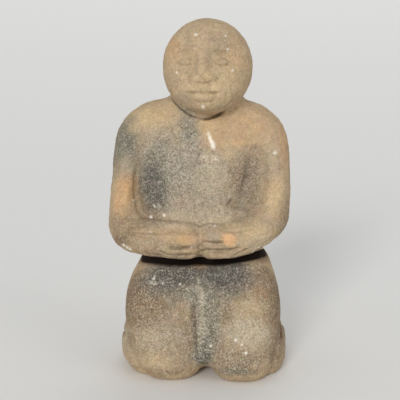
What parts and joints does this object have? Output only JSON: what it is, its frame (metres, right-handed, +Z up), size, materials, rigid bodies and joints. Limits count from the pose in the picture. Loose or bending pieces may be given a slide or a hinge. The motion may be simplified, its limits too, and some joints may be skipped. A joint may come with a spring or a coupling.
{
  "type": "stone human effigy statue",
  "caption": "Kneeling human figure carved from one block of sandstone, head raised, forearms across the lap and hands meeting, standing on its own flat underside.",
  "frame": {"origin": "centre of the figure's outline box on the surface it stands on, at the height of its flat underside", "axes": "+Z up, the figure faces -Y, +X to the right of someone who looks at its face"},
  "size_m": [0.1556, 0.1242, 0.3],
  "materials": {
    "sandstone": "worn matte sandstone, buff with grey and ochre stains"
  },
  "bodies": {
    "root": {"kneeling_effigy": "sandstone"}
  },
  "joints": []
}
